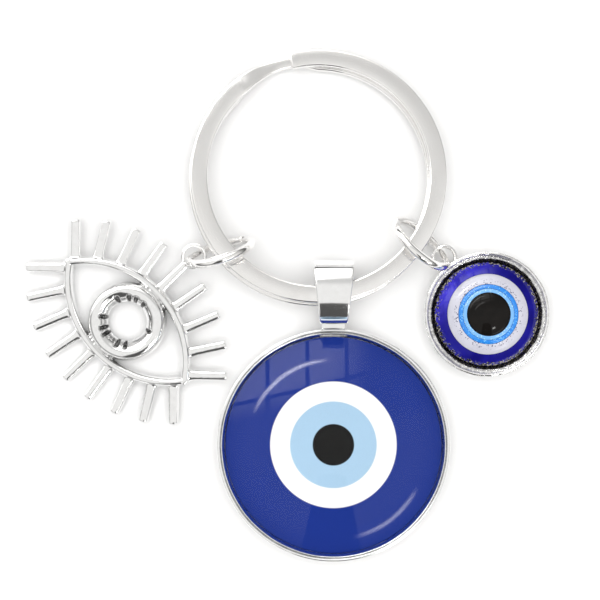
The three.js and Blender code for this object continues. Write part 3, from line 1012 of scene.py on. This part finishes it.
def cup_tarnish(point):
    reach = Vector((point.x, point.y)).length
    wall = smoothstep(6.55, 6.42, reach) * smoothstep(2.6, 2.4, point.z)
    groove = smoothstep(0.2, 0.08, abs(reach - CUP_GROOVE))
    groove *= smoothstep(2.5, 2.35, point.z)
    groove *= smoothstep(2.0, 2.2, point.z)
    bright_lump = smoothstep(0.02, 0.22, grain(point, 0.26, 7))
    return min(1, 0.85 * wall * (1 - 0.95 * bright_lump) + groove * (0.3 + 0.4 * grain(point, 0.8, 3)))


def resin_surface(radius):
    """Height of the resin dome's face at a radius, as if it had no recess."""
    low = corners("small_resin_body")[0].z
    return low + RESIN_EDGE + dome_height(radius_of("small_resin_body"), RESIN_RISE, radius)


def resin_dome():
    node = "small_resin_body"
    low = corners(node)[0].z
    radius = radius_of(node)
    recess = radius_of("small_white_ring") + BAND_GAP
    outline = dome_foot(radius, low, low + RESIN_EDGE)
    for i in range(1, 13):
        reach = radius + (recess - radius) * i / 12
        outline.append(Vector((reach, resin_surface(reach))))
    for i in range(0, 24):
        reach = recess * (1 - i / 24)
        outline.append(Vector((reach, resin_surface(reach) - RESIN_RECESS)))
    outline.append(Vector((0, resin_surface(0) - RESIN_RECESS)))
    return piece("small_resin_dome", node, turned(outline, 160), blue_resin(radius), centre(node))


def set_band(name, node, inner_node, proud, material):
    """A band laid in the recess between two radii, its edges drawn down by the resin's own surface."""
    inner = radius_of(inner_node) + BAND_GAP
    outer = radius_of(node)
    outline = [(reach, resin_surface(reach) - BAND_UNDER, 0.03) for reach in (inner, outer)]
    steps = 6
    for i in range(steps + 1):
        share = i / steps
        reach = outer + (inner - outer) * share
        outline.append((reach, resin_surface(reach) + proud - 0.04 * (2 * share - 1) ** 2, 0.02))
    mesh = turned(filleted(outline, 2, closed=True), 192)
    return piece(name, node, mesh, material, centre(node))


def pupil_bead():
    node = "small_pupil"
    radius = radius_of(node)
    steps = 10
    under = [radius * i / steps for i in range(steps + 1)]
    outline = [Vector((reach, resin_surface(reach) - BAND_UNDER)) for reach in under]
    for i in range(steps * 2 + 1):
        share = math.cos(math.pi / 2 * i / (steps * 2)) if i < steps * 2 else 0
        high = resin_surface(radius * share) + BEAD_EDGE + BEAD_RISE * math.sqrt(1 - share**2)
        outline.append(Vector((radius * share, high)))
    return piece("small_pupil_bead", node, turned(outline, 128), black_resin(), centre(node))


def small_pendant():
    azure = radius_of("small_azure_ring")
    light = radius_of("small_light_ring")
    small_cup()
    glue_film("small_glue_film", "small_glue", 5)
    resin_dome()
    pearl = glitter_resin("white_resin", *PEARL, azure + 0.25, azure + 0.8)
    sea = glitter_resin("azure_resin", *AZURE, light + 0.1, azure + 0.4)
    sky_blue = glitter_resin("light_blue_resin", *LIGHT_BLUE, light - 0.1, light + 0.3)
    set_band("small_white_band", "small_white_ring", "small_azure_ring", 0.05, pearl)
    set_band("small_azure_band", "small_azure_ring", "small_light_ring", 0.08, sea)
    set_band("small_light_band", "small_light_ring", "small_pupil", 0.08, sky_blue)
    pupil_bead()


# ---------------------------------------------------------------- studio

CAMERA_HEIGHT = 200
CAMERA_ASIDE = (1.459, 0.603)  # the view's middle, from the middle of the object's box
CAMERA_LENS = 102.4
SKY_FRONT, SKY_BEHIND, SKY_FAR, SKY_LOW = 0.09, 0.92, 0.7, 0.12
SKY_SIDES = 14  # how soon the sky turns bright to either side
SKY_OVERHEAD = (0.9, 0.985, 0, 0.8)
FRONT_EDGE, FAR_EDGE, LOW_EDGE = (-0.15, -0.01), (0.12, 0.36), (0.05, 0.64)
FILL_LIGHT = 1.88
FLOOR_HALF_WIDTH, FLOOR_STEPS, FLOOR_DROP = 1500, 8, 0.02
# The window and the arcs of light are placed by how a mirror must lean, towards X and Y, to show them.
WINDOW_SLANT = 0.25
WINDOW_EDGES = (  # (direction, from, to, light there, light there)
    ("across", -0.05, 0.24, 1, 0),
    ("up", 0.24, 0.42, 0, 1),
    ("up", 0.62, 0.7, 1, 0),
)
WINDOW_BARS = (("across", -0.359), ("across", -0.143), ("across", 0.071), ("up", 0.3535))
BAR_INSIDE, BAR_OUTSIDE = 0.007, 0.015
WINDOW_LIGHT = 2.6
ARCS = (  # (lean, degrees round from +X, half width, half length in degrees, light)
    (0.468, 125, 0.017, 35, 17),
    (0.505, -52, 0.02, 27, 9),
    (0.286, 125, 0.025, 32, 5),
    (0.29, -60, 0.035, 8, 36),
)


def floor():
    row = FLOOR_STEPS + 1
    marks = [FLOOR_HALF_WIDTH * (2 * i / FLOOR_STEPS - 1) for i in range(row)]
    verts = [(x, y, 0) for y in marks for x in marks]
    faces = []
    for j in range(FLOOR_STEPS):
        for i in range(FLOOR_STEPS):
            corner = j * row + i
            faces.append((corner, corner + 1, corner + row + 1, corner + row))
    mesh = mesh_of(verts, faces)
    mesh.transform(Matrix.Scale(MM, 4))
    s = Shader("floor_paper", Roughness=0.7, IOR=1.4, Specular_IOR_Level=0.1)
    s.feed("Base Color", s.mix(s.noise(60, 2), grey(0.9), grey(0.88, 0.003)))
    mesh.materials.append(s.material)
    obj = bpy.data.objects.new("floor", mesh)
    bpy.context.scene.collection.objects.link(obj)
    obj.location.z = -FLOOR_DROP * MM


def sky():
    """Pale to the camera; in reflections, bright overhead and behind, dark in front and low down."""
    world = bpy.data.worlds.new("studio")
    bpy.context.scene.world = world
    world.use_nodes = True
    tree = world.node_tree
    background = tree.nodes["Background"]
    output = tree.nodes["World Output"]

    def node(kind, inputs=None, **settings):
        return add_node(tree, kind, inputs, **settings)

    direction = node("ShaderNodeTexCoord").outputs["Generated"]
    split = node("ShaderNodeSeparateXYZ", {0: direction})

    def rise(source, low, high, to_low, to_high):
        inputs = {"Value": source, "From Min": low, "From Max": high, "To Min": to_low, "To Max": to_high}
        return node("ShaderNodeMapRange", inputs, interpolation_type="SMOOTHSTEP").outputs[0]

    def math_of(operation, first, second):
        return node("ShaderNodeMath", {0: first, 1: second}, operation=operation).outputs[0]

    aside = math_of("MULTIPLY", math_of("POWER", split.outputs["X"], 2), SKY_SIDES)
    front = math_of("ADD", split.outputs["Y"], aside)
    front = math_of("ADD", front, rise(split.outputs["Z"], *SKY_OVERHEAD))
    level = rise(front, *FRONT_EDGE, SKY_FRONT, SKY_BEHIND)
    level = math_of("MULTIPLY", level, rise(split.outputs["Y"], *FAR_EDGE, 1, SKY_FAR))
    level = math_of("MULTIPLY", level, rise(split.outputs["Z"], *LOW_EDGE, SKY_LOW, 1))
    level = math_of("MAXIMUM", level, SKY_FRONT)

    def along(axis):
        return node("ShaderNodeVectorMath", {0: direction, 1: axis}, operation="DOT_PRODUCT").outputs["Value"]

    def leaning(x, y):
        """How far the mirroring surface leans towards (x, y)."""
        return node("ShaderNodeVectorMath", {0: mirror, 1: (x, y, 0)}, operation="DOT_PRODUCT").outputs["Value"]

    view = (camera_place() - centre("large_print")).normalized()
    halfway = node("ShaderNodeVectorMath", {0: direction, 1: view}, operation="ADD").outputs["Vector"]
    mirror = node("ShaderNodeVectorMath", {0: halfway}, operation="NORMALIZE").outputs["Vector"]
    place = {"across": leaning(1, 0), "up": leaning(-WINDOW_SLANT, 1)}
    glow = WINDOW_LIGHT
    for name, low, high, to_low, to_high in WINDOW_EDGES:
        glow = math_of("MULTIPLY", glow, rise(place[name], low, high, to_low, to_high))
    for name, bar in WINDOW_BARS:
        before = rise(place[name], bar - BAR_OUTSIDE, bar - BAR_INSIDE, 1, 0)
        after = rise(place[name], bar + BAR_INSIDE, bar + BAR_OUTSIDE, 0, 1)
        glow = math_of("MULTIPLY", glow, math_of("ADD", before, after))

    flat = node("ShaderNodeVectorMath", {0: mirror, 1: (1, 1, 0)}, operation="MULTIPLY").outputs["Vector"]
    lean = node("ShaderNodeVectorMath", {0: flat}, operation="LENGTH").outputs["Value"]
    for reach, azimuth, half_width, half_length, light in ARCS:
        turn = math.radians(azimuth)
        beside = math_of("DIVIDE", leaning(math.cos(turn), math.sin(turn)), math_of("MAXIMUM", lean, 0.01))
        ends = math.cos(math.radians(half_length)), math.cos(math.radians(half_length / 3))
        arc = math_of("MULTIPLY", rise(beside, *ends, 0, 1), light)
        arc = math_of("MULTIPLY", arc, rise(lean, reach - half_width, reach, 0, 1))
        arc = math_of("MULTIPLY", arc, rise(lean, reach, reach + half_width, 1, 0))
        glow = math_of("ADD", glow, arc)
    path = node("ShaderNodeLightPath")
    level = math_of("ADD", level, math_of("MULTIPLY", glow, path.outputs["Is Glossy Ray"]))
    tree.links.new(level, background.inputs["Strength"])
    background.inputs["Color"].default_value = (1, 0.995, 0.98, 1)
    pale = node("ShaderNodeBackground", {"Color": (1, 1, 1, 1), "Strength": 1.0})
    mixer = node("ShaderNodeMixShader", {0: path.outputs["Is Camera Ray"]})
    tree.links.new(background.outputs[0], mixer.inputs[1])
    tree.links.new(pale.outputs[0], mixer.inputs[2])
    tree.links.new(mixer.outputs[0], output.inputs["Surface"])


def fill_light():
    """A wide soft light from overhead, which the shiny pieces don't mirror."""
    data = bpy.data.lights.new("fill", "SUN")
    data.energy = FILL_LIGHT
    data.angle = math.radians(70)
    obj = bpy.data.objects.new("fill", data)
    bpy.context.scene.collection.objects.link(obj)
    obj.location.z = 0.5
    obj.visible_glossy = False


def camera_place():
    """Straight above the object, a little off the middle of its box, in millimetres."""
    low, high = cad_box
    across, along = (low[0] + high[0]) / 2 / MM, (low[1] + high[1]) / 2 / MM
    return Vector((across + CAMERA_ASIDE[0], along + CAMERA_ASIDE[1], low[2] / MM + CAMERA_HEIGHT))


def camera():
    data = bpy.data.cameras.new("camera")
    data.lens = CAMERA_LENS
    data.sensor_width = 36
    data.clip_start = 0.01
    obj = bpy.data.objects.new("camera", data)
    bpy.context.scene.collection.objects.link(obj)
    obj.location = camera_place() * MM
    bpy.context.scene.camera = obj


# ---------------------------------------------------------------- the scene

split_ring()
jump_ring("left_jump_ring_wire", "left_jump_ring", "eye_charm_swing", LEFT_GAP)
jump_ring("right_jump_ring_wire", "right_jump_ring", "small_pendant_swing", RIGHT_GAP)
eye_charm()
large_pendant()
small_pendant()
floor()
sky()
fill_light()
camera()
bpy.context.scene.view_settings.view_transform = "Standard"
